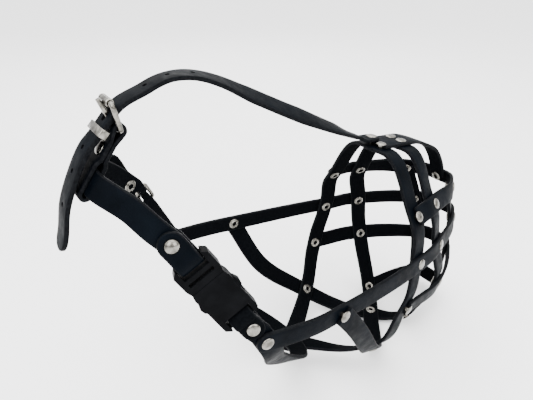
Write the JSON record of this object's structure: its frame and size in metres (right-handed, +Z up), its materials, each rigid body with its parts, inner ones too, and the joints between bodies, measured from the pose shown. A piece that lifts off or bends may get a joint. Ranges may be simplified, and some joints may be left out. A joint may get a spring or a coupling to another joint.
{
  "type": "basket muzzle",
  "caption": "Black leather basket muzzle for a large dog: riveted strap basket, forehead strap with roller buckle, and a neck strap with side-release clip.",
  "frame": {"origin": "on the plane of symmetry, level with the main strap, in the middle of the basket's rear ring", "axes": "-Y towards the nose, +Y out of the basket towards the neck, +X the dog's left, +Z up"},
  "size_m": [0.1656, 0.3865, 0.2919],
  "materials": {
    "black_leather": "smooth finished black leather with a soft sheen and burnished edges",
    "nickel_plate": "bright nickel plate",
    "black_plastic": "satin black moulded plastic"
  },
  "bodies": {
    "basket": {"cheek_buckle_frame": "nickel_plate", "chin_strap": "black_leather", "clip_plug": "black_plastic", "clip_socket": "black_plastic", "clip_tab": "black_leather", "forehead_buckle_frame": "nickel_plate", "forehead_keeper": "nickel_plate", "forehead_strap": "black_leather", "forehead_tab": "black_leather", "front_ring_strap": "black_leather", "front_upright_left": "black_leather", "front_upright_right": "black_leather", "lower_strap": "black_leather", "main_strap": "black_leather", "neck_strap": "black_leather", "nose_ring_strap": "black_leather", "nose_strap": "black_leather", "rivet_bridge_front_left": "nickel_plate", "rivet_bridge_front_right": "nickel_plate", "rivet_bridge_rear_left": "nickel_plate", "rivet_bridge_rear_right": "nickel_plate", "rivet_cheek_buckle": "nickel_plate", "rivet_cheek_left": "nickel_plate", "rivet_cheek_right": "nickel_plate", "rivet_chin_cross": "nickel_plate", "rivet_clip_lower": "nickel_plate", "rivet_clip_upper": "nickel_plate", "rivet_forehead_tab": "nickel_plate", "rivet_front_chin_left": "nickel_plate", "rivet_front_chin_right": "nickel_plate", "rivet_front_lower_left": "nickel_plate", "rivet_front_lower_right": "nickel_plate", "rivet_front_main_left": "nickel_plate", "rivet_front_main_right": "nickel_plate", "rivet_front_upper_left": "nickel_plate", "rivet_front_upper_right": "nickel_plate", "rivet_jaw_join_left": "nickel_plate", "rivet_jaw_join_right": "nickel_plate", "rivet_jaw_left": "nickel_plate", "rivet_jaw_right": "nickel_plate", "rivet_nose_lower_left": "nickel_plate", "rivet_nose_lower_right": "nickel_plate", "rivet_nose_main_left": "nickel_plate", "rivet_nose_main_right": "nickel_plate", "rivet_nose_upper_left": "nickel_plate", "rivet_nose_upper_right": "nickel_plate", "rivet_throat": "nickel_plate", "rivet_upright_main_left": "nickel_plate", "rivet_upright_main_right": "nickel_plate", "rivet_upright_upper_left": "nickel_plate", "rivet_upright_upper_right": "nickel_plate", "throat_strap": "black_leather", "upper_strap": "black_leather"},
    "forehead_tongue": {"forehead_buckle_tongue": "nickel_plate"},
    "forehead_roller": {"forehead_buckle_roller": "nickel_plate"},
    "cheek_tongue": {"cheek_buckle_tongue": "nickel_plate"},
    "cheek_roller": {"cheek_buckle_roller": "nickel_plate"},
    "clip_arm_front": {"clip_arm_front": "black_plastic"},
    "clip_arm_rear": {"clip_arm_rear": "black_plastic"}
  },
  "joints": [
    {"name": "forehead_tongue_swing", "type": "hinge", "parent": "basket", "child": "forehead_tongue", "pos_m": [0, 0.221, 0.15], "axis": [-1, 0, 0], "range_deg": [0, 10]},
    {"name": "forehead_roller_spin", "type": "hinge", "parent": "basket", "child": "forehead_roller", "pos_m": [0, 0.22381, 0.16626], "axis": [-1, 0, 0], "continuous": true},
    {"name": "cheek_tongue_swing", "type": "hinge", "parent": "basket", "child": "cheek_tongue", "pos_m": [0.05318, 0.19914, 0.07666], "axis": [0.1705, -0.8524, 0.4944], "range_deg": [0, 10]},
    {"name": "cheek_roller_spin", "type": "hinge", "parent": "basket", "child": "cheek_roller", "pos_m": [0.05792, 0.19193, 0.06259], "axis": [0.1705, -0.8524, 0.4944], "continuous": true},
    {"name": "clip_arm_front_press", "type": "hinge", "parent": "basket", "child": "clip_arm_front", "pos_m": [-0.05746, 0.18959, 0.06907], "axis": [0.9402, -0.2976, -0.166], "range_deg": [0, 9], "stiffness_Nm_per_rad": 0.1},
    {"name": "clip_arm_rear_press", "type": "hinge", "parent": "basket", "child": "clip_arm_rear", "pos_m": [-0.05459, 0.20391, 0.05961], "axis": [-0.9402, 0.2976, 0.166], "range_deg": [0, 9], "stiffness_Nm_per_rad": 0.1}
  ]
}
